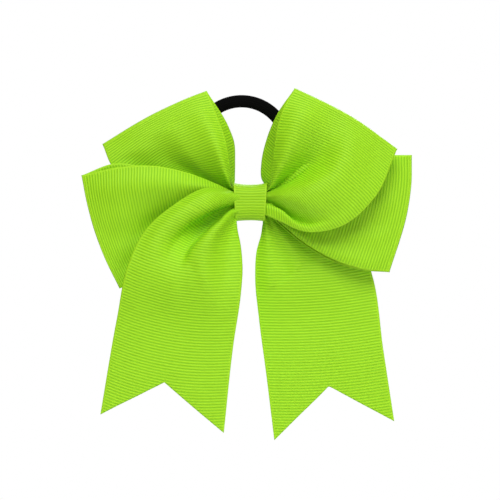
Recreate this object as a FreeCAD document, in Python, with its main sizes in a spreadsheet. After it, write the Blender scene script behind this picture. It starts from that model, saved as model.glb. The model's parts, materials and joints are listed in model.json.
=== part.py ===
import FreeCAD, Part
import os
import Sketcher

# A cheer hair bow: one wide ribbon folded into four loops and two tails, cinched with
# thread, wrapped with a narrower ribbon and closed round an elastic hair tie.
# The frame sits in the middle of the hair tie's ring: front of the bow towards -Y, +Z up,
# +X to the right of whoever faces the bow. Everything is in millimetres.

V = FreeCAD.Vector
doc = FreeCAD.newDocument("cheer_hair_bow")

# ---------------------------------------------------------------- driving dimensions
SIZES = {
    "knot_x": 4.2,            # middle of the knot, from the middle of the hair tie
    "knot_z": -26.4,
    "ribbon_wall": 0.6,       # wide ribbon, one layer
    "crease_half": 0.65,      # half of the two layers pressed together at a fold
    "neck_r": 12.5,           # where loops and tails leave the gathered centre
    "core_r": 12.1,
    "reach": 140.0,           # half size of the waste cut away round each outline
    "blank_r": 135.0,         # radius of the round cloth blank that a loop is cut from
    "fold_inset": 2.0,        # where the two layers meet, short of the fold
    "fold_gap_half": 0.05,
    "pass_thick": 1.8,        # one gathered pass of ribbon through the centre
    "pass_front": -13.2,      # front of the foremost pass
    "wrap_half_width": 7.8,
    "wrap_front": -14.4,
    "wrap_back": 4.6,
    "wrap_front_half": 9.4,
    "wrap_back_half": 4.6,
    "wrap_wall": 0.6,
    "wrap_front_round": 4.0,
    "wrap_back_round": 3.0,
    "thread_half_width": 1.6,
    "thread_front": -13.75,
    "thread_back": -3.65,
    "thread_front_half": 8.45,
    "thread_back_half": 5.9,
    "thread_wall": 0.4,
    "thread_front_round": 3.3,
    "thread_back_round": 1.5,
    "bead_half_length": 4.5,
    "bead_half_height": 1.5,
    "bead_end_bow": 1.47,
    "bead_thick": 0.9,
    "tie_inner_r": 19.2,      # the ring a ponytail goes through
    "tie_radial": 6.0,
    "tie_axial": 4.4,
    "tie_round": 1.6,
    "tie_top_span": 120.0,    # degrees of the part that stretches away
    "leg_angle": 15.0,        # degrees below the middle where the ring turns into legs
    "bend_r": 5.0,
}

# Loops: radial stations and depths of the two layers. A layer bows by its sagitta
# between the neck and the pressed fold; minus is towards the front of the bow.
LOOPS = {
    "ul": {"front": -7.6, "back": -4.4, "fold": -7.0, "fold_r": 54.0, "bow_f": 2.0, "bow_b": 2.0},
    "ll": {"front": -11.2, "back": -8.0, "fold": -13.0, "fold_r": 68.0, "bow_f": 5.0, "bow_b": -1.8},
    "ur": {"front": -13.0, "back": -9.8, "fold": -20.0, "fold_r": 55.0, "bow_f": 9.0, "bow_b": -3.4},
    "lr": {"front": -9.4, "back": -6.2, "fold": -10.4, "fold_r": 68.0, "bow_f": 3.6, "bow_b": 0.9},
}

# Tails: one layer from the neck to the tip, with its bow.
TAILS = {
    "tl": {"neck": -12.3, "tip": -17.0, "tip_r": 128.0, "bow": 10.4},
    "tr": {"neck": -5.1, "tip": -1.3, "tip_r": 128.0, "bow": 0.4},
}

# Outlines seen from the front, round each member from its neck, about the knot.
OUTLINES = {
    "ul": [(-6.0, 4.2), (-9.0, 26.0), (-10.2, 33.5), (-14.0, 43.0), (-20.6, 52.9), (-38.4, 46.1),
           (-55.4, 36.8), (-70.6, 27.3), (-67.0, 16.8), (-38.0, 3.5), (-6.0, -3.5)],
    "ll": [(-6.0, 4.2), (-16.1, 9.1), (-35.3, 14.1), (-55.2, 17.0), (-67.4, 16.8), (-80.1, 12.9),
           (-77.6, -2.0), (-71.0, -21.0), (-61.9, -41.2), (-50.0, -38.6), (-33.0, -29.0), (-6.0, -4.2)],
    "ur": [(6.0, 4.2), (9.4, 13.0), (10.8, 23.0), (12.8, 36.5), (15.6, 44.5), (20.9, 53.7),
           (36.8, 46.6), (47.5, 41.0), (58.1, 33.9), (69.8, 24.6), (67.0, 14.4), (59.7, 2.4),
           (47.8, -8.6), (33.4, -14.4), (23.8, -14.8), (15.7, -10.5), (6.0, -3.8)],
    "lr": [(6.0, 4.2), (40.0, 15.5), (69.8, 23.9), (77.0, 22.5), (76.8, 8.0), (72.6, -12.0),
           (66.0, -33.6), (57.0, -32.6), (41.2, -28.3), (30.5, -23.3), (22.3, -17.1), (6.0, -4.2)],
    "tl": [(-6.0, 3.4), (-20.6, 6.1), (-33.4, 0.7), (-46.3, -9.6), (-56.0, -22.0), (-60.5, -39.1),
           (-65.3, -62.7), (-71.5, -101.5), (-39.0, -85.9), (-12.6, -109.3), (-8.7, -71.9),
           (-3.5, -36.9), (-3.9, -22.0), (-7.1, -8.6)],
    "tr": [(4.4, -3.8), (4.2, -18.2), (2.3, -35.0), (4.6, -56.5), (11.6, -114.5), (37.8, -88.5),
           (69.3, -105.4), (63.8, -70.9), (58.3, -33.5), (33.0, -14.5), (7.0, -1.8)],
}

sheet = doc.addObject("Spreadsheet::Sheet", "dims")
rows = 0


def store(name, value):
    """Keep one plain number in the sheet under its own name."""
    global rows
    rows += 1
    sheet.set(f"A{rows}", name)
    sheet.set(f"B{rows}", repr(float(value)))
    sheet.setAlias(f"B{rows}", name)


for size_name, size in SIZES.items():
    store(size_name, size)
for member, sizes in list(LOOPS.items()) + list(TAILS.items()):
    for size_name, size in sizes.items():
        store(f"{member}_{size_name}", size)
for member, points in OUTLINES.items():
    for number, (across, up) in enumerate(points):
        store(f"{member}_pt{number}_x", across)
        store(f"{member}_pt{number}_z", up)
doc.recompute()


def value(expression):
    """The number that an expression over the sheet comes to."""
    found = sheet.evalExpression(expression)
    return float(getattr(found, "Value", found))


# ---------------------------------------------------------------- sketching helpers
def new_body(name, at=("0", "0", "0"), turn=None):
    """A body at a bound position, turned about Y by a bound angle in degrees."""
    body = doc.addObject("PartDesign::Body", name)
    body.Label = name
    for axis, expression in zip("xyz", at):
        body.setExpression(f"Placement.Base.{axis}", expression)
    if turn is not None:
        body.Placement = FreeCAD.Placement(V(0, 0, 0), V(0, 1, 0), 1)
        body.setExpression("Placement.Rotation.Angle", f"({turn}) * 1 deg")
    return body


AT_KNOT = ("dims.knot_x", "0", "dims.knot_z")


def new_sketch(body, plane, name, offset=None):
    """A sketch on one of the body's own origin planes."""
    sketch = body.newObject("Sketcher::SketchObject", name)
    role = f"{plane}_Plane"
    origin_plane = next(f for f in body.Origin.OriginFeatures if f.Role == role)
    sketch.AttachmentSupport = [(origin_plane, "")]
    sketch.MapMode = "FlatFace"
    if offset is not None:
        sketch.setExpression("AttachmentOffset.Base.z", offset)
    return sketch


def pin_point(sketch, geometry, vertex, x_of, y_of):
    """Fix one end of a curve to two bound coordinates."""
    for kind, expression in (("DistanceX", x_of), ("DistanceY", y_of)):
        index = sketch.addConstraint(
            Sketcher.Constraint(kind, -1, 1, geometry, vertex, value(expression)))
        sketch.setExpression(f"Constraints[{index}]", expression)


def closed_wire(sketch, points, bows=None):
    """A closed wire through bound points; bows maps an edge's number to its sagitta.

    A positive sagitta bows the edge to the right of its direction.
    """
    bows = bows or {}
    flat = [V(value(x), value(y), 0) for x, y in points]
    curves = []
    for number, start in enumerate(flat):
        end = flat[(number + 1) % len(flat)]
        bow = bows.get(number)
        if bow is None:
            curves.append((sketch.addGeometry(Part.LineSegment(start, end)), 1, 2))
            continue
        sagitta = value(bow)
        along = end - start
        across = V(along.y, -along.x, 0).normalize()
        middle = (start + end) * 0.5 + across * sagitta
        if sagitta > 0:
            curves.append((sketch.addGeometry(Part.ArcOfCircle(start, middle, end)), 1, 2))
        else:
            curves.append((sketch.addGeometry(Part.ArcOfCircle(end, middle, start)), 2, 1))
        chord = (f"(({points[(number + 1) % len(points)][0]}) - ({points[number][0]}))^2"
                 f" + (({points[(number + 1) % len(points)][1]}) - ({points[number][1]}))^2")
        radius = f"({chord}) / (8 * abs({bow})) + abs({bow}) / 2"
        index = sketch.addConstraint(
            Sketcher.Constraint("Radius", curves[-1][0], value(radius)))
        sketch.setExpression(f"Constraints[{index}]", radius)
    for number, (geometry, first, _) in enumerate(curves):
        before, _, last = curves[number - 1]
        sketch.addConstraint(Sketcher.Constraint("Coincident", before, last, geometry, first))
        pin_point(sketch, geometry, first, *points[number])
    return sketch


def revolve(body, sketch, name, angle="360", midplane=False, axis="V_Axis", reverse=False):
    feature = body.newObject("PartDesign::Revolution", name)
    feature.Profile = sketch
    feature.ReferenceAxis = (sketch, [axis])
    feature.Midplane = midplane
    feature.Reversed = reverse
    feature.Angle = value(angle)
    if angle != "360":
        feature.setExpression("Angle", angle)
    return feature


def pad(body, sketch, name, length, midplane=False, reverse=False):
    feature = body.newObject("PartDesign::Pad", name)
    feature.Profile = sketch
    feature.Midplane = midplane
    feature.Reversed = reverse
    feature.Length = value(length)
    feature.setExpression("Length", length)
    return feature


def cut_to_outline(body, member):
    """Trim a round cloth blank to the member's outline, straight through."""
    sketch = new_sketch(body, "XZ", f"{body.Name}_outline")
    reach = "dims.reach"
    closed_wire(sketch, [(f"-{reach}", f"-{reach}"), (reach, f"-{reach}"),
                         (reach, reach), (f"-{reach}", reach)])
    closed_wire(sketch, [(f"dims.{member}_pt{n}_x", f"dims.{member}_pt{n}_z")
                         for n in range(len(OUTLINES[member]))])
    trim = body.newObject("PartDesign::Pocket", f"{body.Name}_trim")
    trim.Profile = sketch
    trim.Type = "ThroughAll"
    trim.Midplane = True
    doc.recompute()


# ---------------------------------------------------------------- loops and tails
def build_loop(name, member):
    """Two layers from the gathered neck to a pressed fold, hollow between them."""
    body = new_body(name, AT_KNOT)
    sketch = new_sketch(body, "XY", f"{name}_profile")
    get = {key: f"dims.{member}_{key}" for key in LOOPS[member]}
    fold_front = f"{get['fold']} - dims.crease_half"
    fold_back = f"{get['fold']} + dims.crease_half"
    closed_wire(
        sketch,
        [("dims.neck_r", get["front"]), (get["fold_r"], fold_front),
         ("dims.blank_r", fold_front), ("dims.blank_r", fold_back),
         (get["fold_r"], fold_back), ("dims.neck_r", get["back"])],
        {0: get["bow_f"], 4: get["bow_b"]})
    inner_r = "dims.neck_r + dims.ribbon_wall"
    tip_r = f"{get['fold_r']} - dims.fold_inset"
    closed_wire(
        sketch,
        [(inner_r, f"{get['front']} + dims.ribbon_wall"),
         (tip_r, f"{get['fold']} - dims.fold_gap_half"),
         (tip_r, f"{get['fold']} + dims.fold_gap_half"),
         (inner_r, f"{get['back']} - dims.ribbon_wall")],
        {0: get["bow_f"], 2: get["bow_b"]})
    doc.recompute()
    revolve(body, sketch, f"{name}_layers")
    doc.recompute()
    cut_to_outline(body, member)
    return body


def build_tail(name, member):
    """One layer of ribbon with a swallow-tail end."""
    body = new_body(name, AT_KNOT)
    sketch = new_sketch(body, "XY", f"{name}_profile")
    neck, tip, tip_r, bow = (f"dims.{member}_{key}" for key in ("neck", "tip", "tip_r", "bow"))
    half = "dims.ribbon_wall / 2"
    closed_wire(
        sketch,
        [("dims.neck_r", f"{neck} - {half}"), (tip_r, f"{tip} - {half}"),
         (tip_r, f"{tip} + {half}"), ("dims.neck_r", f"{neck} + {half}")],
        {0: bow, 2: f"-{bow}"})
    doc.recompute()
    revolve(body, sketch, f"{name}_layer")
    doc.recompute()
    cut_to_outline(body, member)
    return body


pieces = [
    build_loop("loop_upper_left", "ul"),
    build_loop("loop_lower_left", "ll"),
    build_loop("loop_upper_right", "ur"),
    build_loop("loop_lower_right", "lr"),
    build_tail("tail_left", "tl"),
    build_tail("tail_right", "tr"),
]

# ---------------------------------------------------------------- gathered centre
PASSES = [  # name, half height of the gathered pass, front to back
    ("centre_pass_1_tail_left_to_upper_right", 4.8),
    ("centre_pass_2_upper_right_to_lower_left", 6.5),
    ("centre_pass_3_lower_left_to_lower_right", 6.3),
    ("centre_pass_4_lower_right_to_upper_left", 5.8),
    ("centre_pass_5_upper_left_to_tail_right", 4.9),
]
for number, (pass_name, half_height) in enumerate(PASSES):
    store(f"pass_{number}_half", half_height)
doc.recompute()
for number, (pass_name, half_height) in enumerate(PASSES):
    front = f"dims.pass_front + {number} * dims.pass_thick"
    body = new_body(pass_name, ("dims.knot_x", f"{front} + dims.pass_thick", "dims.knot_z"))
    sketch = new_sketch(body, "XZ", f"pass_{number}_section")
    high = f"dims.pass_{number}_half"
    wide = f"sqrt(dims.core_r^2 - {high}^2)"
    end_bow = f"(dims.core_r - {wide})"
    closed_wire(
        sketch,
        [(f"-{wide}", f"-{high}"), (wide, f"-{high}"), (wide, high), (f"-{wide}", high)],
        {1: end_bow, 3: end_bow})
    doc.recompute()
    pad(body, sketch, f"pass_{number}_cloth", "dims.pass_thick")
    doc.recompute()
    pieces.append(body)


def build_band(name, part, wall, half_width):
    """A closed band round the centre: a rounded taper, hollowed through both sides."""
    body = new_body(name, AT_KNOT)
    sketch = new_sketch(body, "YZ", f"{name}_section")
    front, back = f"dims.{part}_front", f"dims.{part}_back"
    front_half, back_half = f"dims.{part}_front_half", f"dims.{part}_back_half"
    closed_wire(sketch, [(front, f"-{front_half}"), (back, f"-{back_half}"),
                         (back, back_half), (front, front_half)])
    doc.recompute()
    last = pad(body, sketch, f"{name}_block", f"2 * {half_width}", midplane=True)
    doc.recompute()
    for at, end in ((value(front), "front"), (value(back), "back")):
        edges = [f"Edge{n}" for n, edge in enumerate(last.Shape.Edges, 1)
                 if all(abs(v.Point.y - at) < 1e-6 for v in edge.Vertexes)
                 and abs(edge.Vertexes[0].Point.x - edge.Vertexes[1].Point.x) > 1]
        rounding = body.newObject("PartDesign::Fillet", f"{name}_{end}_rounding")
        rounding.Base = (last, edges)
        rounding.Radius = value(f"dims.{part}_{end}_round")
        rounding.setExpression("Radius", f"dims.{part}_{end}_round")
        doc.recompute()
        last = rounding
    ends = [f"Face{n}" for n, face in enumerate(last.Shape.Faces, 1)
            if abs(abs(face.CenterOfMass.x) - value(half_width)) < 1e-6]
    hollow = body.newObject("PartDesign::Thickness", f"{name}_hollow")
    hollow.Base = (last, ends)
    hollow.Reversed = True
    hollow.Value = value(wall)
    hollow.setExpression("Value", wall)
    doc.recompute()
    return body


pieces.append(build_band("binding_thread", "thread", "dims.thread_wall", "dims.thread_half_width"))
pieces.append(build_band("centre_wrap", "wrap", "dims.wrap_wall", "dims.wrap_half_width"))

bead = new_body("wrap_glue_bead", ("dims.knot_x", "dims.wrap_back + dims.bead_thick", "dims.knot_z"))
bead_sketch = new_sketch(bead, "XZ", "bead_section")
length, height = "dims.bead_half_length", "dims.bead_half_height"
closed_wire(
    bead_sketch,
    [(f"-{length}", f"-{height}"), (length, f"-{height}"), (length, height), (f"-{length}", height)],
    {1: "dims.bead_end_bow", 3: "dims.bead_end_bow"})
doc.recompute()
pad(bead, bead_sketch, "bead_glue", "dims.bead_thick")
doc.recompute()
pieces.append(bead)

# ---------------------------------------------------------------- hair tie
TIE_MID = "(dims.tie_inner_r + dims.tie_radial / 2)"
LEG_TURN = "dims.leg_angle * 1 deg"
BEND_TURN = "(90 - dims.leg_angle) * 1 deg"
LEG_DROP = f"(-dims.knot_z - {TIE_MID} * sin({LEG_TURN}) - dims.bend_r * (1 - cos({BEND_TURN})))"
LEG_LENGTH = f"({LEG_DROP} / cos({LEG_TURN}))"
RUN_HALF = (f"({TIE_MID} * cos({LEG_TURN}) - {LEG_LENGTH} * sin({LEG_TURN})"
            f" - dims.bend_r * sin({BEND_TURN}))")


def tie_section(sketch, middle, swap=False):
    """The band's rounded section; middle is its centre along the radial direction."""
    radial, axial = "dims.tie_radial / 2", "dims.tie_axial / 2"
    corner, bow = "dims.tie_round", "(dims.tie_round * (1 - sqrt(0.5)))"
    r_out, r_in = f"{middle} + {radial}", f"{middle} - {radial}"
    if swap:
        points = [(f"-{axial}", f"{r_in} + {corner}"), (f"-{axial} + {corner}", r_in),
                  (f"{axial} - {corner}", r_in), (axial, f"{r_in} + {corner}"),
                  (axial, f"{r_out} - {corner}"), (f"{axial} - {corner}", r_out),
                  (f"-{axial} + {corner}", r_out), (f"-{axial}", f"{r_out} - {corner}")]
    else:
        points = [(r_in, f"-{axial} + {corner}"), (f"{r_in} + {corner}", f"-{axial}"),
                  (f"{r_out} - {corner}", f"-{axial}"), (r_out, f"-{axial} + {corner}"),
                  (r_out, f"{axial} - {corner}"), (f"{r_out} - {corner}", axial),
                  (f"{r_in} + {corner}", axial), (r_in, f"{axial} - {corner}")]
    return closed_wire(sketch, points, {0: bow, 2: bow, 4: bow, 6: bow})


top = new_body("hair_tie_top", turn="-90")
top_sketch = new_sketch(top, "XY", "tie_top_section")
tie_section(top_sketch, TIE_MID)
doc.recompute()
revolve(top, top_sketch, "tie_top_arc", "dims.tie_top_span", midplane=True)
doc.recompute()
pieces.append(top)

SIDE_SPAN = "90 - dims.tie_top_span / 2 + dims.leg_angle"
for side, turn, upward in (("right", "dims.leg_angle", False), ("left", "180 - dims.leg_angle", True)):
    body = new_body(f"hair_tie_side_{side}", turn=turn)
    sketch = new_sketch(body, "XY", f"tie_{side}_section")
    tie_section(sketch, TIE_MID)
    doc.recompute()
    revolve(body, sketch, f"tie_{side}_arc", SIDE_SPAN, reverse=not upward)
    doc.recompute()
    pad(body, sketch, f"tie_{side}_leg", LEG_LENGTH, reverse=not upward)
    doc.recompute()
    pieces.append(body)

base = new_body("hair_tie_base", ("0", "0", "dims.knot_z"))
base_sketch = new_sketch(base, "YZ", "tie_run_section")
tie_section(base_sketch, "0", swap=True)
doc.recompute()
pad(base, base_sketch, "tie_run", f"2 * {RUN_HALF}", midplane=True)
doc.recompute()
for side, sign in (("right", ""), ("left", "-")):
    sketch = new_sketch(base, "YZ", f"tie_bend_{side}_section", offset=f"{sign}{RUN_HALF}")
    tie_section(sketch, "0", swap=True)
    across, up = value("dims.tie_axial"), value("dims.bend_r")
    hinge_line = sketch.addGeometry(Part.LineSegment(V(-across, up, 0), V(across, up, 0)), True)
    pin_point(sketch, hinge_line, 1, "-dims.tie_axial", "dims.bend_r")
    pin_point(sketch, hinge_line, 2, "dims.tie_axial", "dims.bend_r")
    doc.recompute()
    revolve(base, sketch, f"tie_bend_{side}", "90 - dims.leg_angle", axis="Axis0",
            reverse=side == "right")
    doc.recompute()
pieces.append(base)

# ---------------------------------------------------------------- check and write out
doc.recompute()
faults = []
for thing in doc.Objects:
    if any(word in thing.State for word in ("Invalid", "Error")):
        faults.append(f"{thing.Name}: {thing.State}")
os.makedirs("parts", exist_ok=True)
for piece in pieces:
    shape = piece.Shape
    if shape.isNull() or not shape.isValid() or len(shape.Solids) != 1:
        faults.append(f"{piece.Label}: null, not valid or {len(shape.Solids)} solids")
        continue
    box = shape.optimalBoundingBox()
    print(f"{piece.Label:45s} {shape.Volume:9.1f} mm3  x {box.XMin:7.1f}..{box.XMax:7.1f}"
          f"  y {box.YMin:6.1f}..{box.YMax:6.1f}  z {box.ZMin:7.1f}..{box.ZMax:7.1f}")
    shape.exportStep(f"parts/{piece.Label}.step")
if faults:
    raise SystemExit("\n".join(faults))
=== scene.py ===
import json
import math

import bmesh
import bpy
import numpy as np
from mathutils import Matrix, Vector


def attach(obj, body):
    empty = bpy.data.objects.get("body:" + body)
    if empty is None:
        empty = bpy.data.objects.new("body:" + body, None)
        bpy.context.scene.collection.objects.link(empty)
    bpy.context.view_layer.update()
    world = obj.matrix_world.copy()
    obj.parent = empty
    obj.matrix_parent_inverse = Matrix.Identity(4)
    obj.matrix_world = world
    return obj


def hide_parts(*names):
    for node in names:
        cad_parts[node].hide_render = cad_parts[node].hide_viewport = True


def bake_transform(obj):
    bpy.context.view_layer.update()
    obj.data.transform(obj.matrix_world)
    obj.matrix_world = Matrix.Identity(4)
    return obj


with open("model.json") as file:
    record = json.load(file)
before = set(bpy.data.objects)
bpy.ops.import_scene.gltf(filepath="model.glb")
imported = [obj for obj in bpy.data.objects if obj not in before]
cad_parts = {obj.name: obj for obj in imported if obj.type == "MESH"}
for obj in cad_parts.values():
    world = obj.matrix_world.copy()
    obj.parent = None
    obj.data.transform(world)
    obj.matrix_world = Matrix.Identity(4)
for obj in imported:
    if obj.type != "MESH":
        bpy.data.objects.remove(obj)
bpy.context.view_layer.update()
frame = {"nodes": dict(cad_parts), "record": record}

MM = 0.001

# Sizes and places are in millimetres from here to the studio.
# The knot is where every ribbon is pinched. The axis of the first joint, a fan, runs through it.
pinch = frame["record"]["behaviour"]["joints"][0]["pos_m"]
KNOT_X, KNOT_Z = round(pinch[0] / MM, 3), round(pinch[2] / MM, 3)
KNOT_Y = -9.0                 # the middle of the knot's depth
KNOT_LENGTH = 14.0            # from side to side
PINCH = (0.55, 0.8, 0.85)     # inside the knot a layer keeps these shares of its own x, y and z

RIBBON_WIDTH = 57.0           # 2 1/4 inch grosgrain
KNOT_RIBBON_WIDTH = 16.0      # 5/8 inch grosgrain
RIBBON_THICKNESS = 0.45
PLEAT_THICKNESS = 0.12        # of the ribbon where the knot presses its folds together
RIB_PITCH = 1.39
WARP_PITCH = 0.42             # between the fine threads that run along the ribbon
SELVEDGE = 0.5                # the smooth edge, before the ribs begin
SELVEDGE_FADE = 0.6           # over this width the ribs come in
WEAVE_UNIT = 0.01             # one millimetre in the weave map

ACROSS_STEPS = 72             # points across every piece of ribbon
FRONT_STEPS = 110             # rows along the front layer of a loop
BACK_STEPS = 80               # and along its back layer
UNCUT_STEPS = 150             # rows along a tail before it is cut
CUT_FROM = 60                 # the cut lies beyond this row
TAIL_STEPS = 130              # rows along a tail once it is cut
UNCUT_SPARE = 2.0             # how far the uncut tail runs past its longest tip

FRONT_PLEATS = (3.5, 0.35)    # how many side by side, and how deep at most
BACK_PLEATS = (4.5, 1.3)
TAIL_PLEATS = (3.5, 0.7)
TAKE_UP = 0.8                 # share of a row's missing width that its pleats take up
HALVINGS = 16                 # in the search for a row's depth of pleats
FLAT_END = 7.0                # pleats die out over the last seventh of a layer

FOLD_RADIUS = 0.8             # gives the length of cloth in the turn of a fold
FOLD_REACH = 0.45             # how far a fold stands past the ends of its two layers
FOLD_STEPS = 8
FOLD_PLAIN = 0.2              # up to this far from a fold the ribs don't show
FOLD_FADE = 1.1               # over this length they come in
ROLL_REACH = 11.0             # over about this length the cloth is rolled into a fold

# ------------------------------------------------------------------ cloth surfaces
# Each layer of ribbon is given by warp lines: threads that run along the ribbon from the
# knot outwards. A line is (place across the width from 0 to 1, [(x, y, z), ...]), with x and
# z from the middle of the knot and y from the hair tie's plane.


def hermite(knots, values, at):
    """A smooth curve through values at knots, read at each of at."""
    knots, values = np.asarray(knots, float), np.asarray(values, float)
    slope = np.diff(values, axis=0) / np.diff(knots)[:, None]
    tangent = np.empty_like(values)
    tangent[0], tangent[-1] = slope[0], slope[-1]
    gap = np.diff(knots)
    weight = (gap[1:] / (gap[1:] + gap[:-1]))[:, None]
    tangent[1:-1] = slope[:-1] * weight + slope[1:] * (1 - weight)
    i = np.clip(np.searchsorted(knots, at, side="right") - 1, 0, len(gap) - 1)
    h = gap[i]
    t = ((at - knots[i]) / h)[:, None]
    h = h[:, None]
    return ((2 * t**3 - 3 * t**2 + 1) * values[i] + (t**3 - 2 * t**2 + t) * h * tangent[i]
            + (-2 * t**3 + 3 * t**2) * values[i + 1] + (t**3 - t**2) * h * tangent[i + 1])


def distances(points):
    """How far along the line through the points each of them lies."""
    return np.concatenate([[0], np.cumsum(np.linalg.norm(np.diff(points, axis=0), axis=1))])


def layer(lines, along_steps):
    """A grid of points, along_steps by ACROSS_STEPS, over a net of warp lines."""
    even = np.linspace(0, 1, along_steps)
    stations = []
    for _, points in lines:
        span = distances(points)
        stations.append(hermite(span / span[-1], points, even))
    stations = np.array(stations)
    places = [place for place, _ in lines]
    across = np.linspace(0, 1, ACROSS_STEPS)
    grid = np.empty((along_steps, ACROSS_STEPS, 3))
    for step in range(along_steps):
        grid[step] = hermite(places, stations[:, step], across)
    return grid


def across_lengths(grid):
    """The cloth's own width at each row of the grid."""
    return np.linalg.norm(np.diff(grid, axis=1), axis=2).sum(axis=1)


def gather(grid, pleats, deepest):
    """Pleats in depth that take up the width a narrow row can't show flat.

    pleats is how many lie side by side, and deepest is the most that one stands out.
    """
    across = np.linspace(0, 1, grid.shape[1])
    ripple = np.cos(2 * math.pi * pleats * across)
    flat_width = across_lengths(grid)
    target = flat_width + TAKE_UP * np.maximum(0, RIBBON_WIDTH - flat_width)
    low, high = np.zeros(len(grid)), np.full(len(grid), deepest)
    for _ in range(HALVINGS):
        depth = (low + high) / 2
        pleated = grid.copy()
        pleated[:, :, 1] += depth[:, None] * ripple
        short = across_lengths(pleated) < target
        low, high = np.where(short, depth, low), np.where(short, high, depth)
    flattening = np.clip(np.linspace(FLAT_END, 0, len(grid)), 0, 1)
    pleated = grid.copy()
    pleated[:, :, 1] += (depth * flattening)[:, None] * ripple
    return pleated


def run_lengths(grid):
    """Distance along each warp line from the grid's first row."""
    steps = np.linalg.norm(np.diff(grid, axis=0), axis=2)
    return np.concatenate([np.zeros((1, grid.shape[1])), np.cumsum(steps, axis=0)])


def fold_cap(front_end, back_end, outward):
    """The turn of the ribbon from its front layer to its back layer at a fold."""
    middle = (front_end + back_end) / 2
    half = (back_end - front_end) / 2
    rows = []
    for k in range(1, FOLD_STEPS):
        angle = math.pi * k / FOLD_STEPS
        rows.append(middle - half * math.cos(angle) + outward * FOLD_REACH * math.sin(angle))
    return np.array(rows)


def add_object(name, data):
    """A new object that shows the data, in the scene."""
    made = bpy.data.objects.new(name, data)
    bpy.context.scene.collection.objects.link(made)
    return made


def sheet_mesh(name, grid, along, material, width=RIBBON_WIDTH, thickness=RIBBON_THICKNESS):
    """A ribbon with thickness from a grid of points, with x and z from the knot's middle.

    along holds each point's place along the ribbon, for the weave.
    """
    rows, columns, _ = grid.shape
    mesh = bpy.data.meshes.new(name)
    points = grid.reshape(-1, 3) * MM + np.array([KNOT_X, 0, KNOT_Z]) * MM
    corners = [r * columns + c for r in range(rows - 1) for c in range(columns - 1)]
    faces = [(first, first + 1, first + columns + 1, first + columns) for first in corners]
    mesh.from_pydata([tuple(p) for p in points], [], faces)
    uv = mesh.uv_layers.new(name="weave")
    across = np.linspace(0, width, columns)
    for loop in mesh.loops:
        r, c = divmod(loop.vertex_index, columns)
        uv.data[loop.index].uv = (along[r, c] * WEAVE_UNIT, across[c] * WEAVE_UNIT)
    for polygon in mesh.polygons:
        polygon.use_smooth = True
    mesh.validate()
    mesh.materials.append(material)
    piece = add_object(name, mesh)
    solid = piece.modifiers.new("thickness", "SOLIDIFY")
    solid.thickness = thickness * MM
    solid.offset = 0
    solid.use_even_offset = False
    return piece


def into_knot(lines):
    """The same warp lines, begun inside the knot, where they are pinched together."""
    begun = []
    for place, points in lines:
        x, y, z = points[0]
        inside = (x * PINCH[0], KNOT_Y + (y - KNOT_Y) * PINCH[1], z * PINCH[2])
        begun.append((place, [inside] + points))
    return begun


def rolled(run, roll):
    """Distance along the cloth from the fold, with the cloth that is rolled up in the fold."""
    across = np.linspace(0, 1, run.shape[1])
    extra = hermite([place for place, _ in roll], [[amount] for _, amount in roll], across)[:, 0]
    from_fold = run[-1] - run
    return from_fold + extra * (1 - np.exp(-from_fold / ROLL_REACH))


def loop_piece(name, front, back, outward, roll, material):
    """A loop from its front and back warp lines, folded towards outward, and its flat length."""
    front_grid = gather(layer(into_knot(front), FRONT_STEPS), *FRONT_PLEATS)
    back_grid = gather(layer(into_knot(back), BACK_STEPS), *BACK_PLEATS)
    cap = fold_cap(front_grid[-1], back_grid[-1], np.array(outward, float))
    front_run, back_run = run_lengths(front_grid), run_lengths(back_grid)
    turn = math.pi * FOLD_RADIUS
    turned = np.linspace(0, turn, len(cap) + 2)[1:-1]
    cap_along = np.repeat(turned[:, None], ACROSS_STEPS, axis=1)
    grid = np.concatenate([front_grid, cap, back_grid[::-1]])
    along = np.concatenate([-rolled(front_run, roll), cap_along, rolled(back_run, NO_ROLL)[::-1] + turn])
    piece = sheet_mesh(name, grid, along, material)
    length = (front_run[-1].mean() + back_run[-1].mean() + turn) * MM
    return piece, length


def tail_piece(name, lines, tip_direction, bow, material):
    """A tail, cut at its end along two straight lines that meet in a notch, and its flat length.

    bow is how far its ribs sag between the two edges.
    """
    tip_direction = np.array(tip_direction, float)
    ends = np.array([points[-1] for _, points in lines])
    levels = ends @ tip_direction
    notch = int(np.argmin(levels))
    places = [place for place, _ in lines]
    across = np.linspace(0, 1, ACROSS_STEPS)
    cut = np.interp(across, [0, places[notch], 1], [levels[0], levels[notch], levels[-1]])
    longest = levels.max() + UNCUT_SPARE
    extended = []
    for (place, points), level in zip(lines, levels):
        end, before = np.array(points[-1]), np.array(points[-2])
        step = (end - before) / np.linalg.norm(end - before)
        extra = tuple(end + step * (longest - level) / (step @ tip_direction))
        extended.append((place, points + [extra]))
    full = layer(into_knot(extended), UNCUT_STEPS)
    grid = np.empty((TAIL_STEPS, ACROSS_STEPS, 3))
    share = np.linspace(0, 1, len(full))
    for column in range(ACROSS_STEPS):
        level = full[:, column] @ tip_direction
        last = np.interp(cut[column], level[CUT_FROM:], share[CUT_FROM:])
        wanted = np.linspace(0, last, TAIL_STEPS)
        for axis in range(3):
            grid[:, column, axis] = np.interp(wanted, share, full[:, column, axis])
    grid = gather(grid, *TAIL_PLEATS)
    run = run_lengths(grid)
    bowed = bow * 4 * across * (1 - across)
    piece = sheet_mesh(name, grid, run - run[-1] + cut - bowed, material)
    return piece, run[-1].mean() * MM


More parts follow.
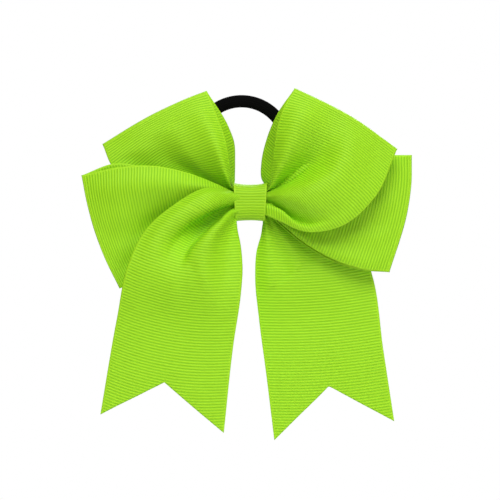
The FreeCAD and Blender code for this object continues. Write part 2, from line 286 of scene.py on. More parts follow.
# ------------------------------------------------------------------ materials
# The groove greens are darker than the rib greens: painted shade in the grooves between the ribs.
RIB_GREEN = (0.425, 0.80, 0.013, 1)
GROOVE_PAINTED_SHADE_GREEN = (0.225, 0.58, 0.004, 1)
EDGE_GREEN = (0.40, 0.78, 0.013, 1)
KNOT_RIB_GREEN = (0.39, 0.71, 0.010, 1)
KNOT_GROOVE_PAINTED_SHADE_GREEN = (0.25, 0.57, 0.004, 1)
KNOT_EDGE_GREEN = (0.37, 0.69, 0.010, 1)
SHEEN_GREEN = (0.75, 1.0, 0.35, 1)
RIB_FULLNESS = 0.7            # below 1, the ribs are broader than the grooves
RIB_SHARE = 0.85              # of the height of the weave: the warp threads have the rest
FOLD_SHADE = 0.75             # of the cloth in a fold, between 0 for groove and 1 for rib
CLOUDINESS = 0.12             # how much of the groove's colour clouds the cloth at most
RIB_ROUGHNESS, GROOVE_ROUGHNESS = 0.50, 0.62
ELASTIC_DARK = (0.0008, 0.0008, 0.0008, 1)
ELASTIC_LIGHT = (0.003, 0.0028, 0.0028, 1)
THREAD_DARK = (0.16, 0.40, 0.01, 1)
THREAD_LIGHT = (0.30, 0.62, 0.03, 1)
THREAD_TWIST = 0.4            # from one strand of the thread to the next
GLUE_DARK = (0.70, 0.74, 0.55, 1)
GLUE_LIGHT = (0.86, 0.88, 0.74, 1)


def node(tree, kind, **settings):
    """A new shader node with these settings."""
    made = tree.nodes.new(kind)
    for key, setting in settings.items():
        setattr(made, key, setting)
    return made


def maths(tree, operation, a, b=None, c=None, clamp=False):
    """The output of a maths node, whose inputs are numbers or other nodes' outputs."""
    made = node(tree, "ShaderNodeMath", operation=operation, use_clamp=clamp)
    for index, source in enumerate((a, b, c)):
        if source is None:
            continue
        if isinstance(source, (int, float)):
            made.inputs[index].default_value = source
        else:
            tree.links.new(source, made.inputs[index])
    return made.outputs[0]


def mix_colour(tree, factor, a, b):
    """The colour between a, where the factor is 0, and b, where it is 1."""
    made = node(tree, "ShaderNodeMix", data_type="RGBA")
    for index, source in ((0, factor), (6, a), (7, b)):
        if isinstance(source, (int, float, tuple)):
            made.inputs[index].default_value = source
        else:
            tree.links.new(source, made.inputs[index])
    return made.outputs[2]


def wave(tree, source, pitch):
    """A wave from 0 to 1, with its tops one pitch apart."""
    swing = maths(tree, "SINE", maths(tree, "MULTIPLY", source, 2 * math.pi / pitch))
    return maths(tree, "MULTIPLY_ADD", swing, 0.5, 0.5)


def ramp(tree, source, start, length):
    """0 up to start, and then up to 1 over the length."""
    return maths(tree, "DIVIDE", maths(tree, "SUBTRACT", source, start), length, clamp=True)


def weave_map(tree):
    """Places along and across a ribbon, or along and round the elastic."""
    coordinates = node(tree, "ShaderNodeUVMap", uv_map="weave")
    split = node(tree, "ShaderNodeSeparateXYZ")
    tree.links.new(coordinates.outputs[0], split.inputs[0])
    return split.outputs[0], split.outputs[1]


def clouds(tree, scale, detail):
    """Soft noise from 0 to 1 through the object's own space."""
    place = node(tree, "ShaderNodeTexCoord")
    cloud = node(tree, "ShaderNodeTexNoise")
    cloud.inputs["Scale"].default_value = scale
    cloud.inputs["Detail"].default_value = detail
    tree.links.new(place.outputs["Object"], cloud.inputs["Vector"])
    return cloud.outputs[0]


def bumps(tree, shader, height, strength, distance):
    """The surface stands out by the height, which goes from 0 to 1, times the distance."""
    bump = node(tree, "ShaderNodeBump")
    bump.inputs["Strength"].default_value = strength
    bump.inputs["Distance"].default_value = distance * MM
    tree.links.new(height, bump.inputs["Height"])
    tree.links.new(bump.outputs[0], shader.inputs["Normal"])


def new_material(name):
    """A material, its tree and its shader."""
    material = bpy.data.materials.new(name)
    material.use_nodes = True
    tree = material.node_tree
    shader = tree.nodes["Principled BSDF"]
    return material, tree, shader


def grosgrain(name, width, rib_colour, groove_painted_shade_colour, edge_colour):
    """Ribbed ribbon: ribs across it with painted shade in the grooves between them, smooth woven selvedges,
    fine warp threads.
    """
    material, tree, shader = new_material(name)
    along, across = weave_map(tree)
    ribs = maths(tree, "POWER", wave(tree, along, RIB_PITCH * WEAVE_UNIT), RIB_FULLNESS)
    warp = wave(tree, across, WARP_PITCH * WEAVE_UNIT)
    # distance in from the nearer edge, and where the ribs begin
    inward = maths(tree, "MINIMUM", across, maths(tree, "SUBTRACT", width * WEAVE_UNIT, across))
    body = ramp(tree, inward, SELVEDGE * WEAVE_UNIT, SELVEDGE_FADE * WEAVE_UNIT)
    # the selvedge's stitches are twice as close as the ribs, and half as high
    stitches = wave(tree, along, RIB_PITCH / 2 * WEAVE_UNIT)
    stitches = maths(tree, "MULTIPLY_ADD", stitches, 0.5, 0.25)
    woven = maths(tree, "ADD", maths(tree, "MULTIPLY", ribs, RIB_SHARE),
                  maths(tree, "MULTIPLY", warp, 1 - RIB_SHARE))
    height = maths(tree, "ADD", maths(tree, "MULTIPLY", woven, body),
                   maths(tree, "MULTIPLY", stitches, maths(tree, "SUBTRACT", 1.0, body)))
    bumps(tree, shader, height, strength=0.55, distance=0.35)
    # in the roll of a fold the ribs are drawn tight and hardly show
    beyond_fold = ramp(tree, maths(tree, "ABSOLUTE", along), FOLD_PLAIN * WEAVE_UNIT, FOLD_FADE * WEAVE_UNIT)
    shade = maths(tree, "MULTIPLY_ADD", maths(tree, "SUBTRACT", ribs, FOLD_SHADE), beyond_fold, FOLD_SHADE)
    # painted shade: the grooves between the ribs take the darker groove green
    ribbed = mix_colour(tree, shade, groove_painted_shade_colour, rib_colour)
    cloth = mix_colour(tree, body, edge_colour, ribbed)
    cloudy = maths(tree, "MULTIPLY", clouds(tree, scale=60.0, detail=3.0), CLOUDINESS)
    tree.links.new(mix_colour(tree, cloudy, cloth, groove_painted_shade_colour), shader.inputs["Base Color"])
    roughness = maths(tree, "MULTIPLY_ADD", shade, RIB_ROUGHNESS - GROOVE_ROUGHNESS, GROOVE_ROUGHNESS)
    tree.links.new(roughness, shader.inputs["Roughness"])
    shader.inputs["Specular IOR Level"].default_value = 0.25
    shader.inputs["Sheen Weight"].default_value = 0.06
    shader.inputs["Sheen Roughness"].default_value = 0.4
    shader.inputs["Sheen Tint"].default_value = SHEEN_GREEN
    return material


def braided_elastic():
    """Matt black elastic, braided on the slant both ways."""
    material, tree, shader = new_material("braided_elastic")
    along, around = weave_map(tree)
    one_way = maths(tree, "MULTIPLY", maths(tree, "ADD", along, around), 2 * math.pi)
    other_way = maths(tree, "MULTIPLY", maths(tree, "SUBTRACT", along, around), 2 * math.pi)
    plait = maths(tree, "MULTIPLY", maths(tree, "SINE", one_way), maths(tree, "SINE", other_way))
    plait = maths(tree, "MULTIPLY_ADD", plait, 0.5, 0.5)
    tree.links.new(mix_colour(tree, plait, ELASTIC_DARK, ELASTIC_LIGHT), shader.inputs["Base Color"])
    bumps(tree, shader, plait, strength=0.6, distance=0.3)
    shader.inputs["Roughness"].default_value = 0.85
    shader.inputs["Specular IOR Level"].default_value = 0.06
    return material


def twisted_thread():
    """Green thread of twisted strands."""
    material, tree, shader = new_material("binding_thread")
    place = node(tree, "ShaderNodeTexCoord")
    split = node(tree, "ShaderNodeSeparateXYZ")
    tree.links.new(place.outputs["Object"], split.inputs[0])
    strands = wave(tree, split.outputs[0], THREAD_TWIST * MM)
    tree.links.new(mix_colour(tree, strands, THREAD_DARK, THREAD_LIGHT), shader.inputs["Base Color"])
    bumps(tree, shader, strands, strength=1.0, distance=0.2)
    shader.inputs["Roughness"].default_value = 0.7
    return material


def hot_glue():
    """Milky, smooth, slightly lumpy glue."""
    material, tree, shader = new_material("hot_glue")
    cloud = clouds(tree, scale=400.0, detail=2.0)
    tree.links.new(mix_colour(tree, cloud, GLUE_DARK, GLUE_LIGHT), shader.inputs["Base Color"])
    bumps(tree, shader, cloud, strength=0.3, distance=0.5)
    shader.inputs["Roughness"].default_value = 0.3
    return material


wide_ribbon = grosgrain("wide_grosgrain", RIBBON_WIDTH, RIB_GREEN, GROOVE_PAINTED_SHADE_GREEN, EDGE_GREEN)
narrow_ribbon = grosgrain("narrow_grosgrain", KNOT_RIBBON_WIDTH,
                          KNOT_RIB_GREEN, KNOT_GROOVE_PAINTED_SHADE_GREEN, KNOT_EDGE_GREEN)

# ------------------------------------------------------------------ the six members
UPPER_RIGHT_FRONT = [
    (0.00, [(7.8, -11.4, 5.6), (9.6, -14.5, 11.5), (11.0, -18.5, 22.5), (12.8, -21.5, 35.5),
            (15.6, -22.3, 44.5), (20.9, -20.4, 53.6)]),
    (0.18, [(7.8, -12.8, 5.4), (13.0, -18.0, 12.6), (17.6, -23.4, 22.5), (21.3, -25.8, 33),
            (25.5, -25.6, 42.0), (30.2, -21.6, 49.2)]),
    (0.38, [(7.8, -10.6, 4.9), (15.6, -11.0, 8.9), (24.0, -13.6, 14.3), (32.0, -18.6, 21.6),
            (37.4, -22.4, 31.5), (40.7, -21.8, 44.0)]),
    (0.56, [(7.8, -13.8, 3.9), (16.5, -19.5, 5.4), (28, -25.0, 7.4), (38.5, -26.6, 12.5),
            (46.0, -26.2, 23.5), (49.6, -22.2, 39.0)]),
    (0.72, [(7.8, -13.2, 2.0), (16.0, -18.8, 0.6), (28, -24.4, -1.6), (41, -26.2, 2.5),
            (50.5, -25.6, 13.5), (57.3, -21.8, 33.8)]),
    (0.83, [(7.8, -10.4, 0.0), (13.2, -11.2, -3.0), (22.5, -15.2, -9.2), (37, -22.6, -8.2),
            (51, -24.6, 2.2), (62.4, -21.2, 30.0)]),
    (0.90, [(7.8, -13.6, -1.6), (13.6, -15.8, -3.4), (23.6, -19.3, -10.8), (39.5, -23.0, -9.8),
            (54.5, -24.2, 2.0), (65.4, -20.8, 27.9)]),
    (1.00, [(7.4, -12.8, -6.4), (14.6, -15.4, -9.6), (26.0, -19.6, -14.2), (43.5, -22.4, -11.6),
            (60.0, -23.2, 3.0), (69.8, -20.4, 24.6)]),
]
UPPER_RIGHT_BACK = [
    (0.00, [(7.0, -7.6, 7.6), (5.5, -6.4, 11.5), (5.5, -6.4, 19), (7.8, -8.2, 29.5),
            (13.0, -13.4, 42.0), (20.9, -19.2, 53.6)]),
    (0.12, [(8.4, -9.4, 6.6), (9.8, -10.6, 10.6), (11.8, -11.4, 18.4), (14.6, -14.2, 28.6),
            (19.6, -17.2, 39.6), (27.2, -19.1, 50.8)]),
    (0.50, [(7.6, -9.8, 2), (14, -11, 8), (23, -13.8, 17), (33, -16.3, 27), (40, -17.6, 36),
            (47.0, -18.8, 40.8)]),
    (1.00, [(7.6, -9.8, -3), (16, -11.6, -5), (30, -15.6, -5), (46, -18, 2), (60, -19.0, 13),
            (69.8, -19.2, 24.6)]),
]
LOWER_RIGHT_FRONT = [
    (0.00, [(7.6, -9, 4.5), (16, -10.5, 8), (30, -12.5, 13.5), (48, -13.5, 18.5), (63, -12.9, 22),
            (76.8, -11, 22.5)]),
    (0.25, [(7.6, -9.2, 2.5), (16, -11.3, 4), (30, -13.3, 6), (48, -14.2, 8), (63, -13.2, 9),
            (76.8, -11, 9)]),
    (0.50, [(7.6, -9, 0), (16, -10.8, -1), (30, -12.8, -3), (48, -13.7, -4.5), (62, -12.8, -5.5),
            (74.5, -11, -5.5)]),
    (0.75, [(7.6, -9, -2.5), (16, -10.4, -6.3), (29, -12, -12.5), (45, -13, -17.5),
            (58, -12.5, -19.5), (70.6, -11, -19.5)]),
    (0.93, [(7.6, -9, -4.2), (15, -10.4, -9.2), (25, -12.4, -16.4), (40, -13.6, -24.4),
            (54.4, -13.2, -28.9), (67.2, -11, -29.8)]),
    (1.00, [(7.6, -9, -4.8), (14.5, -9.9, -10), (24, -11.2, -18), (38.5, -12.1, -26.9),
            (53, -12.0, -32), (66, -11, -33.6)]),
]
LOWER_RIGHT_BACK = [
    (0.0, [(7.6, -6.8, 4), (15, -6.6, 8.5), (30, -6.8, 14.5), (48, -7.6, 20), (63, -8.9, 22.3),
            (76.8, -9.8, 22.5)]),
    (0.5, [(7.6, -6.8, 0), (15, -6.5, -1), (30, -6.6, -3), (48, -7.4, -4.5), (62, -8.8, -5.5),
            (74.5, -9.8, -5.5)]),
    (1.0, [(7.6, -6.8, -5), (14, -6.5, -10.8), (24, -6.7, -19.2), (38.5, -7.4, -28.1),
            (53, -8.5, -32.6), (66, -9.8, -33.6)]),
]
UPPER_LEFT_FRONT = [
    (0.00, [(-7.8, -8.4, 6.2), (-9.3, -11.5, 13), (-10.4, -14.0, 21.5), (-12.2, -14.2, 31),
            (-15.8, -12.0, 41), (-20.6, -7.8, 52.8)]),
    (0.18, [(-7.8, -9.8, 5.9), (-11.6, -13.8, 12.2), (-14.6, -16.4, 20.5), (-18.6, -16.2, 30.5),
            (-23.5, -13.8, 40), (-29.3, -9.0, 49.6)]),
    (0.42, [(-7.8, -7.4, 5.3), (-16.2, -8.4, 11.0), (-23.5, -9.6, 17.6), (-30.5, -11.0, 25.0),
            (-36.5, -11.6, 34.5), (-41.8, -9.6, 43.7)]),
    (0.66, [(-7.8, -5.8, 4.3), (-17, -4.6, 8), (-30, -4.2, 13.4), (-42, -7.2, 20.0),
            (-50.0, -10.4, 28.6), (-54.4, -9.8, 37.0)]),
    (1.00, [(-7.8, -5.6, 2), (-17, -4.8, 4.5), (-32, -5.2, 7), (-50, -8.2, 10),
            (-65.6, -10.4, 16.5), (-70.6, -7.8, 27.2)]),
]
UPPER_LEFT_BACK = [
    (0.00, [(-7.4, -4.4, 6.4), (-7.5, -2.6, 11), (-7.4, -1.8, 19), (-7.8, -2.0, 28.6),
            (-10.6, -4.2, 36.5), (-20.6, -6.6, 52.8)]),
    (0.12, [(-8.6, -5.0, 6.2), (-10.2, -5.0, 11.2), (-12.0, -5.8, 20), (-14.4, -6.4, 30),
            (-18.2, -6.4, 39), (-26.8, -6.6, 50.3)]),
    (0.50, [(-7.6, -5.0, 3), (-15, -4.6, 11), (-25, -4.2, 20), (-33, -4.2, 29),
            (-40.5, -4.8, 37.5), (-46.0, -6.2, 42.0)]),
    (1.00, [(-7.6, -5.0, 0.5), (-16, -4.4, 3), (-32, -4.2, 6), (-50, -4.4, 10), (-64.5, -5.3, 17),
            (-70.6, -6.6, 27.2)]),
]
LOWER_LEFT_FRONT = [
    (0.00, [(-7.8, -9.6, 4.9), (-15.5, -11.6, 8.3), (-30.4, -15.4, 13.9), (-46.3, -17.4, 17.2),
            (-63, -16.6, 16.5), (-80.1, -13.6, 12.9)]),
    (0.22, [(-7.8, -11, 3.2), (-16, -14.0, 5.2), (-30, -17.6, 6.8), (-47, -19.2, 6.5),
            (-64, -17.6, 3.5), (-77.9, -13.6, 0.8)]),
    (0.50, [(-7.8, -10.2, 1), (-15, -11.2, 0), (-28, -12.6, -3), (-44, -12.2, -8),
            (-60, -14.6, -11.8), (-73.5, -13.6, -14.8)]),
    (0.75, [(-7.6, -9.8, -1), (-14.5, -10.3, -5), (-27, -12.4, -11.5), (-42, -12.4, -19),
            (-56, -13.6, -24.5), (-68.4, -13.6, -28.3)]),
    (1.00, [(-7.6, -9.8, -3.5), (-13.5, -10.0, -9.5), (-24, -11.8, -18.5), (-37, -13.4, -28.5),
            (-50, -14.2, -36), (-61.9, -13.6, -41.2)]),
]
LOWER_LEFT_BACK = [
    (0.0, [(-7.6, -8.4, 4.2), (-13, -8.8, 7.2), (-24, -10.3, 11), (-44, -11.8, 14.8),
            (-65, -12.2, 18.4), (-80.1, -12.4, 12.9)]),
    (0.5, [(-7.6, -8.4, 0.5), (-14, -8.8, 0), (-28, -9.6, -3), (-45, -9.4, -8),
            (-60, -11.0, -11.8), (-73.5, -12.4, -14.8)]),
    (1.0, [(-7.6, -8.4, -3.5), (-13, -8.8, -9.8), (-24, -10.2, -19), (-37, -11.5, -29),
            (-50, -12.2, -36.3), (-61.9, -12.4, -41.2)]),
]
TAIL_LEFT = [
    (0.00, [(-7.8, -13.6, 4.7), (-21.5, -19.0, 6.4), (-35.7, -22.4, -1.1), (-50.6, -22.8, -14.5),
            (-58.0, -24.0, -29.9), (-63.6, -20.2, -56), (-71.5, -18, -101.5)]),
    (0.13, [(-7.8, -15.8, 3.2), (-20.8, -23.0, 2.6), (-32.5, -24.6, -4.4), (-43.6, -24.8, -15.4),
            (-50.3, -25.6, -30), (-56.2, -20.8, -56), (-62.9, -18.5, -97.4)]),
    (0.25, [(-7.8, -15.0, -0.6), (-19.8, -22.4, -4.6), (-29.6, -23.6, -9.8),
            (-38.3, -24.4, -17.6), (-43.2, -26.0, -31), (-49.0, -21.0, -57),
            (-54.6, -19, -93.6)]),
    (0.34, [(-7.8, -11.6, -2.0), (-18.4, -12.8, -5.4), (-27.0, -16.6, -11.4),
            (-35.0, -21.4, -19.4), (-39.5, -25.8, -32), (-44.0, -21.0, -57),
            (-48.5, -19.1, -90.2)]),
    (0.45, [(-7.6, -10.8, -3.0), (-16.6, -12.6, -10.6), (-24.0, -15.8, -17.0),
            (-30.4, -21.0, -23.9), (-34.6, -25.8, -33), (-37.9, -21.0, -57),
            (-41.0, -19.2, -86.1)]),
    (0.54, [(-7.4, -14.6, -3.4), (-15.2, -22.4, -9.6), (-22.4, -26.0, -16.4),
            (-27.4, -26.8, -23.0), (-30.0, -26.6, -34), (-32.9, -21.2, -57),
            (-36.4, -19.3, -89.8)]),
    (0.78, [(-7.0, -14.4, -5.9), (-10.0, -18.6, -10.6), (-13.6, -22.0, -18),
            (-16.0, -24.0, -27.5), (-17.6, -25.4, -38), (-20.1, -21.0, -60),
            (-24.0, -19, -99.0)]),
    (1.00, [(-6.4, -12, -8.2), (-6.4, -13.6, -11.5), (-4.6, -17.0, -21), (-3.7, -19.6, -32),
            (-4.5, -21.2, -44), (-8, -19.6, -68), (-12.6, -18.5, -110.3)]),
]
TAIL_RIGHT = [
    (0.00, [(5.6, -5.6, -7.5), (5.6, -5.4, -13.4), (3.0, -4.6, -24), (2.4, -4.6, -36),
            (4.2, -2.6, -56), (7.6, -2.4, -82), (11.6, -1.4, -114.5)]),
    (0.25, [(6.6, -5.8, -6), (9.4, -6.0, -12.5), (12.5, -5.4, -23), (15, -5.4, -36),
            (18, -2.7, -56), (21.5, -2.5, -78), (24.7, -1.4, -101.5)]),
    (0.50, [(7.2, -5.4, -4.4), (13, -5.0, -10.5), (22, -4.8, -21), (27.5, -5.2, -35),
            (31.5, -2.6, -54), (34.8, -2.4, -72), (37.8, -1.5, -88.5)]),
    (0.75, [(7.6, -5.6, -2.4), (17, -5.6, -8), (31, -5, -18), (40, -5.2, -33), (45.5, -2.7, -54),
            (49.8, -2.5, -76), (53.5, -1.5, -97)]),
    (1.00, [(7.6, -5.4, -0.5), (20, -5.1, -4), (38, -4.8, -10), (53, -4.6, -19.5),
            (58.6, -4.0, -35), (64, -2.6, -70.9), (69.3, -1.4, -105.4)]),
]

# How much cloth each loop takes up in the roll of its fold, as (place across, length).
NO_ROLL = [(0, 0), (1, 0)]
UPPER_RIGHT_ROLL = [(0, 0), (0.3, 3.5), (0.6, 4.5), (1, 3)]
UPPER_LEFT_ROLL = [(0, 0), (0.35, 4.5), (0.6, 6.5), (0.85, 4), (1, 2)]
LOWER_LEFT_ROLL = [(0, 0), (0.5, 3.5), (1, 5)]
LOWER_RIGHT_ROLL = NO_ROLL


def gathered_ribbon(piece, cad_node):
    """The cloth in place of its CAD node, with its place baked into its mesh."""
    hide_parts(cad_node)
    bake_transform(piece)


# name, front, back, the way its fold points, roll, CAD node, body, the way it leaves the knot
LOOPS = [
    ("ribbon_loop_upper_right", UPPER_RIGHT_FRONT, UPPER_RIGHT_BACK, (0.51, 0, 0.86), UPPER_RIGHT_ROLL,
     "loop_upper_right", "upper_right", (0.94, 0.342)),
    ("ribbon_loop_lower_right", LOWER_RIGHT_FRONT, LOWER_RIGHT_BACK, (0.98, 0, -0.19), LOWER_RIGHT_ROLL,
     "loop_lower_right", "lower_right", (1.0, 0.0)),
    ("ribbon_loop_upper_left", UPPER_LEFT_FRONT, UPPER_LEFT_BACK, (-0.46, 0, 0.887), UPPER_LEFT_ROLL,
     "loop_upper_left", "upper_left", (-0.8, 0.6)),
    ("ribbon_loop_lower_left", LOWER_LEFT_FRONT, LOWER_LEFT_BACK, (-0.948, 0, -0.319), LOWER_LEFT_ROLL,
     "loop_lower_left", "lower_left", (-1.0, -0.1)),
]
for name, front, back, outward, roll, cad_node, body, direction in LOOPS:
    piece, length = loop_piece(name, front, back, outward, roll, wide_ribbon)
    gathered_ribbon(piece, cad_node)

# name, warp lines, the way its tips point, sag of its ribs, CAD node, body, the way it leaves the knot
TAILS = [
    ("ribbon_tail_left", TAIL_LEFT, (-0.158, 0, -0.987), 3.5, "tail_left", "left_tail", (-0.866, -0.5)),
    ("ribbon_tail_right", TAIL_RIGHT, (0.07, 0, -0.998), 1.5, "tail_right", "right_tail", (0.5, -0.866)),
]
for name, lines, tip_direction, bow, cad_node, body, direction in TAILS:
    piece, length = tail_piece(name, lines, tip_direction, bow, wide_ribbon)
    gathered_ribbon(piece, cad_node)

# ------------------------------------------------------------------ the knot
WRAP_PROFILE = [  # (y, z) round the knot's section, from the lap at the back, over the top
    (4.9, 0.0), (4.7, 3.0), (2.6, 5.4), (-2.5, 7.2), (-8.0, 8.9), (-12.0, 8.6), (-14.6, 6.6),
    (-15.3, 0.6), (-14.7, -5.2), (-12.8, -8.3), (-8.6, -9.0), (-2.5, -7.4), (2.6, -5.4), (4.7, -3.0),
    (5.0, 0.0), (5.2, 3.0), (3.6, 5.3)]
WRAP_STEPS = 150              # rows along the wrap
WRAP_HALF_WIDTH = 7.5
WRAP_HALF_HEIGHT = 8.6
WRAP_MIDDLE_Y = -5.0          # parts its front from its back
WRAP_FLARE = 0.5              # its half width grows by this towards the top, and shrinks below
WRAP_BULGE = 0.012            # the share that it is wider half-way down
WAIST_ABOVE, WAIST_BELOW = 0.10, 0.05  # the shares by which its top and bottom dip in the middle
EDGE_LIFT = 0.25              # how far its two edges stand off the knot


def wrap_piece():
    """The narrow ribbon round the knot, and its flat length."""
    profile = np.array(WRAP_PROFILE, float)
    span = distances(profile)
    run = np.linspace(0, span[-1], WRAP_STEPS)
    side = np.linspace(-1, 1, ACROSS_STEPS)
    grid = np.empty((WRAP_STEPS, ACROSS_STEPS, 3))
    for row, (y, z) in enumerate(hermite(span, profile, run)):
        level = z / WRAP_HALF_HEIGHT
        dip = WAIST_ABOVE if z > 0 else WAIST_BELOW
        bulge = 1 + WRAP_BULGE * (1 - level**2)
        grid[row, :, 0] = side * (WRAP_HALF_WIDTH + WRAP_FLARE * level) * bulge
        grid[row, :, 1] = y + EDGE_LIFT * side**2 * np.sign(y - WRAP_MIDDLE_Y)
        grid[row, :, 2] = z * (1 - dip * (1 - side**2))
    along = np.repeat(run[:, None], ACROSS_STEPS, axis=1)
    return sheet_mesh("ribbon_centre_wrap", grid, along, narrow_ribbon, width=KNOT_RIBBON_WIDTH), span[-1]


wrap, wrap_length = wrap_piece()
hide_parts("centre_wrap")
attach(wrap, "centre")

PASSES = [  # (node, half of its height), from the front to the back
    ("centre_pass_1_tail_left_to_upper_right", 4.6),
    ("centre_pass_2_upper_right_to_lower_left", 6.3),
    ("centre_pass_3_lower_left_to_lower_right", 6.1),
    ("centre_pass_4_lower_right_to_upper_left", 5.6),
    ("centre_pass_5_upper_left_to_tail_right", 4.7),
]
FIRST_PASS_Y = -13.1
PASS_PITCH = 1.8              # from the front of one pass to the front of the next
PASS_DEPTH = 1.6              # shared out between the folds of one pass
PASS_ROWS = 12


def pleated_pass(number, name, half_height):
    """One pass of the wide ribbon through the knot, folded to and fro like a fan."""
    folds = round(RIBBON_WIDTH / (2 * half_height))
    corners = []
    for k in range(folds):
        y = FIRST_PASS_Y + number * PASS_PITCH + k * PASS_DEPTH / folds
        first = -half_height if k % 2 == 0 else half_height
        corners += [(y, first), (y, -first)]
    corners = np.array(corners)
    span = distances(corners)
    at = np.linspace(0, span[-1], ACROSS_STEPS)
    grid = np.empty((PASS_ROWS, ACROSS_STEPS, 3))
    grid[:, :, 0] = np.linspace(-KNOT_LENGTH / 2, KNOT_LENGTH / 2, PASS_ROWS)[:, None]
    grid[:, :, 1] = np.interp(at, span, corners[:, 0])
    grid[:, :, 2] = np.interp(at, span, corners[:, 1])
    along = np.repeat(np.linspace(0, KNOT_LENGTH, PASS_ROWS)[:, None], ACROSS_STEPS, axis=1)
    piece = sheet_mesh(f"pleats_{number + 1}", grid, along, wide_ribbon, thickness=PLEAT_THICKNESS)
    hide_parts(name)
    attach(piece, "centre")


for number, (name, half_height) in enumerate(PASSES):
    pleated_pass(number, name, half_height)

# The thread and the glue keep their CAD shapes.
for cad_node, material in (("binding_thread", twisted_thread()), ("wrap_glue_bead", hot_glue())):
    shown = frame["nodes"][cad_node]
    shown.data.materials.clear()
    shown.data.materials.append(material)

# ------------------------------------------------------------------ hair tie
TIE_BAND, TIE_DEPTH = 6.0, 4.4
TIE_RADIUS = frame["record"]["mounts"][0]["dims"]["r_mm"] + TIE_BAND / 2  # of the band's middle
TIE_BEND = 5.0                # radius of its two corners beside the knot
TIE_LEAN = math.radians(15)   # how far its legs lean in towards the knot
CORNER_STEPS, LEG_STEPS, RING_STEPS = 16, 14, 60
ROUND_STEPS = 28              # round the band
SQUARENESS = 0.8              # below 1, the band's section is squarer than an ellipse
BRAID_PITCH = 1.6
BRAID_REPEATS = 12            # round the band


def arc(middle, radius, first, last, count):
    """Points on an arc in the plane of the tie, from one angle to another."""
    angles = np.linspace(first, last, count)
    return middle + radius * np.stack([np.cos(angles), np.sin(angles)], axis=1)


def between(first, last, count):
    """Points on a straight line, without the two ends."""
    share = np.linspace(0, 1, count)[1:-1, None]
    return first + (last - first) * share


def tie_path():
    """The middle of the elastic, from one side of the run through the knot round to the other."""
    cosine, sine = math.cos(TIE_LEAN), math.sin(TIE_LEAN)
    leg_top = TIE_RADIUS * np.array([cosine, -sine])
    drop = leg_top[1] - KNOT_Z - TIE_BEND * (1 - sine)
    leg_end = leg_top - drop / cosine * np.array([sine, cosine])
    bend_middle = leg_end + TIE_BEND * np.array([-cosine, sine])
    right = np.concatenate([
        arc(bend_middle, TIE_BEND, -math.pi / 2, -TIE_LEAN, CORNER_STEPS),
        between(leg_end, leg_top, LEG_STEPS),
        arc(np.zeros(2), TIE_RADIUS, -TIE_LEAN, math.pi / 2, RING_STEPS)])
    left = right[::-1][1:] * np.array([-1, 1])
    run_end = np.array([bend_middle[0], KNOT_Z])
    run = between(run_end * np.array([-1, 1]), run_end, LEG_STEPS)
    return np.concatenate([right, left, run])


def squared(value):
    """A sine or cosine, pushed out towards -1 or 1."""
    return math.copysign(abs(value)**SQUARENESS, value)


def tie_piece():
    """The whole elastic: a flattish band swept along its path."""
    path = tie_path()
    tangent = np.roll(path, -1, axis=0) - np.roll(path, 1, axis=0)
    tangent /= np.linalg.norm(tangent, axis=1)[:, None]
    outward = np.stack([tangent[:, 1], -tangent[:, 0]], axis=1)
    verts = []
    for (x, z), (out_x, out_z) in zip(path, outward):
        for k in range(ROUND_STEPS):
            angle = 2 * math.pi * k / ROUND_STEPS
            radial = squared(math.cos(angle)) * TIE_BAND / 2
            depth = squared(math.sin(angle)) * TIE_DEPTH / 2
            verts.append(((x + out_x * radial) * MM, depth * MM, (z + out_z * radial) * MM))
    corners = [((i, k), (i, k + 1), (i + 1, k + 1), (i + 1, k))
               for i in range(len(path)) for k in range(ROUND_STEPS)]
    faces = [[row % len(path) * ROUND_STEPS + column % ROUND_STEPS for row, column in face]
             for face in corners]
    mesh = bpy.data.meshes.new("elastic_hair_tie")
    mesh.from_pydata(verts, [], faces)
    uv = mesh.uv_layers.new(name="weave")
    run = distances(np.concatenate([path, path[:1]]))
    scale = round(run[-1] / BRAID_PITCH) / run[-1]
    for polygon, face in zip(mesh.polygons, corners):
        for loop, (row, column) in zip(polygon.loop_indices, face):
            uv.data[loop].uv = (run[row] * scale, column * BRAID_REPEATS / ROUND_STEPS)
        polygon.use_smooth = True
    mesh.materials.append(braided_elastic())
    bm = bmesh.new()
    bm.from_mesh(mesh)
    bmesh.ops.recalc_face_normals(bm, faces=bm.faces)
    bm.to_mesh(mesh)
    bm.free()
    return add_object("elastic_hair_tie", mesh)


tie = tie_piece()
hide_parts("hair_tie_base", "hair_tie_side_left", "hair_tie_side_right", "hair_tie_top")
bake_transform(tie)

# ------------------------------------------------------------------ studio, in metres
WHITE = (1, 1, 1, 1)
PALE_GREY = (0.93, 0.93, 0.93, 1)
FLOOR_Z = -0.300              # well below the bow, which hangs
FLOOR_RADIUS = 0.5
SKY_LEVEL = 0.25              # brightness of the sky at eye level, straight ahead
SKY_FROM_ABOVE = 0.20         # brighter by this at the top, and darker at the bottom
SKY_AT_SIDES = -0.12          # darker by this at the far left and right
LIT_POINT = (KNOT_X * MM, -0.01, -0.05)
LAMP_SIZE = 0.7
LAMPS = [("key", (0.02, -0.86, 0.80), 10.9), ("fill", (0.5, -0.9, -0.05), 2.0),
         ("back", (0.2, 0.9, 0.5), 7.0)]  # name, place, watts
VIEW_MIDDLE = (0.0041, -0.010, -0.0494)
VIEW_WIDTH = 0.2395           # seen across the frame, at the middle
CAMERA_DISTANCE = 2.0
SENSOR_MM = 36.0
CLIP_START = 0.05

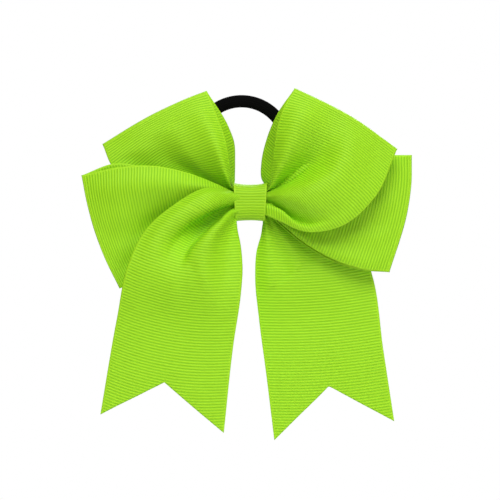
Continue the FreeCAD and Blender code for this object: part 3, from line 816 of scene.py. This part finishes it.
floor_mesh = bpy.data.meshes.new("floor")
bm = bmesh.new()
bmesh.ops.create_circle(bm, cap_ends=True, segments=96, radius=FLOOR_RADIUS)
bm.to_mesh(floor_mesh)
bm.free()
floor_material, _, floor_shader = new_material("pale_floor")
floor_shader.inputs["Base Color"].default_value = PALE_GREY
floor_shader.inputs["Roughness"].default_value = 0.9
floor_mesh.materials.append(floor_material)
floor = add_object("floor", floor_mesh)
floor.location = (KNOT_X * MM, 0, FLOOR_Z)

# The sky lights the bow softly, and the camera sees plain white paper instead of it.
world = bpy.data.worlds.new("studio")
world.use_nodes = True
sky = world.node_tree
ambient = sky.nodes["Background"]
ambient.inputs["Color"].default_value = WHITE
heading = node(sky, "ShaderNodeTexCoord")
split_heading = node(sky, "ShaderNodeSeparateXYZ")
sky.links.new(heading.outputs["Generated"], split_heading.inputs[0])
from_above = maths(sky, "MULTIPLY_ADD", split_heading.outputs["Z"], SKY_FROM_ABOVE, SKY_LEVEL)
sideways = maths(sky, "MULTIPLY", maths(sky, "ABSOLUTE", split_heading.outputs["X"]), SKY_AT_SIDES)
sky.links.new(maths(sky, "ADD", from_above, sideways), ambient.inputs["Strength"])
paper = node(sky, "ShaderNodeBackground")
paper.inputs["Color"].default_value = WHITE
paper.inputs["Strength"].default_value = 1.0
seen = node(sky, "ShaderNodeLightPath")
either = node(sky, "ShaderNodeMixShader")
sky.links.new(seen.outputs["Is Camera Ray"], either.inputs[0])
sky.links.new(ambient.outputs[0], either.inputs[1])
sky.links.new(paper.outputs[0], either.inputs[2])
sky.links.new(either.outputs[0], sky.nodes["World Output"].inputs["Surface"])
bpy.context.scene.world = world
bpy.context.scene.view_settings.view_transform = "Standard"

for name, place, power in LAMPS:
    light = bpy.data.lights.new(name, "AREA")
    light.shape = "DISK"
    light.size = LAMP_SIZE
    light.energy = power
    lamp = add_object(name, light)
    lamp.location = place
    lamp.rotation_euler = (Vector(LIT_POINT) - Vector(place)).to_track_quat("-Z", "Y").to_euler()
    lamp.visible_camera = False

camera_data = bpy.data.cameras.new("camera")
camera_data.sensor_width = SENSOR_MM
camera_data.lens = SENSOR_MM * CAMERA_DISTANCE / VIEW_WIDTH
camera_data.clip_start = CLIP_START
camera = add_object("camera", camera_data)
camera.location = (VIEW_MIDDLE[0], VIEW_MIDDLE[1] - CAMERA_DISTANCE, VIEW_MIDDLE[2])
camera.rotation_euler = (math.radians(90), 0, 0)
bpy.context.scene.camera = camera
